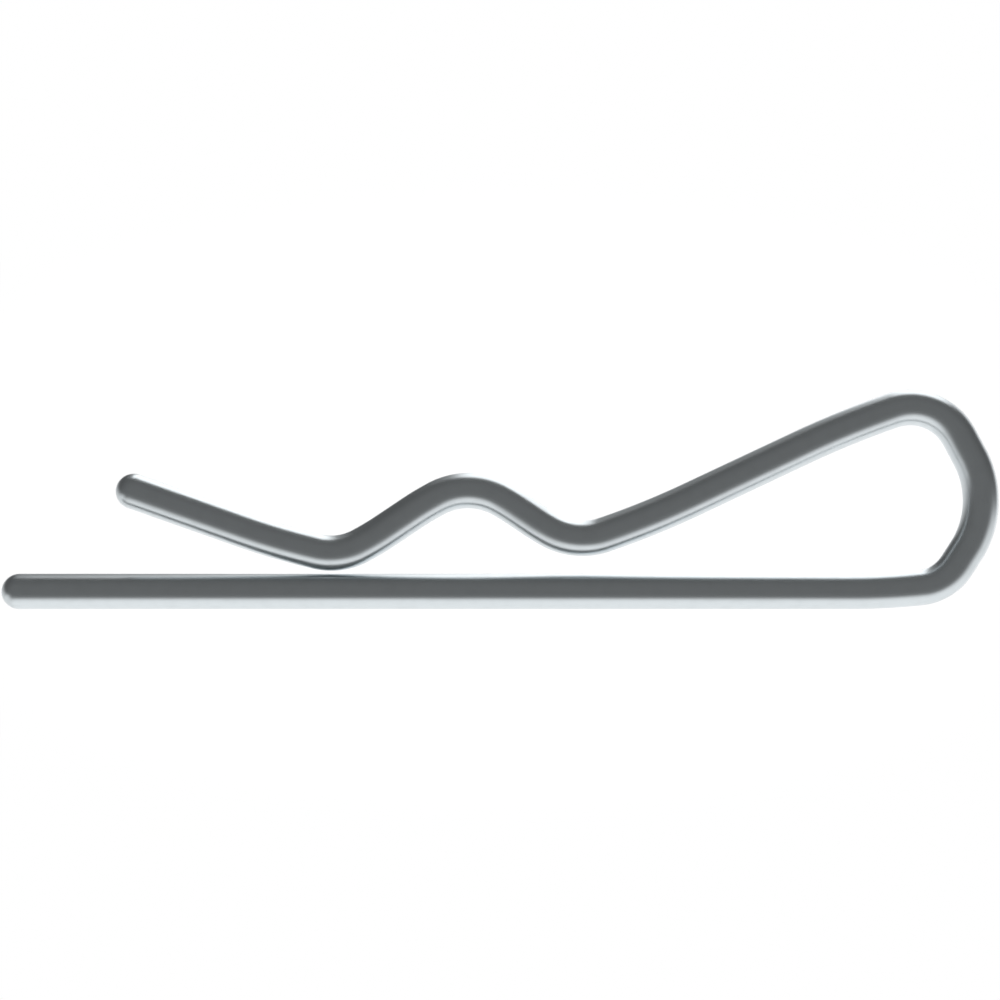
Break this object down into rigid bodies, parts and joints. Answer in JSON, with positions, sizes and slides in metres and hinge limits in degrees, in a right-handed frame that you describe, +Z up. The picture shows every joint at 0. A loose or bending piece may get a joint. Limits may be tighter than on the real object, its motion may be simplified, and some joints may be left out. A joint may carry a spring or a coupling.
{
  "type": "hitch pin r clip",
  "caption": "Bent round spring wire clip: a straight leg goes through a hitch pin's cross hole, and a wavy arm with a saddle snaps over the pin to lock it.",
  "frame": {"origin": "on the surface that the clip lies on, under the middle of its outline", "axes": "+X along the straight leg towards the head loop, +Y from the leg towards the arm, +Z up, square to the plane of the wire"},
  "size_m": [0.09, 0.0198, 0.0032],
  "materials": {
    "spring_wire": "bright zinc plated spring steel wire, smooth and glossy"
  },
  "bodies": {
    "root": {"r_clip": "spring_wire"}
  },
  "joints": []
}
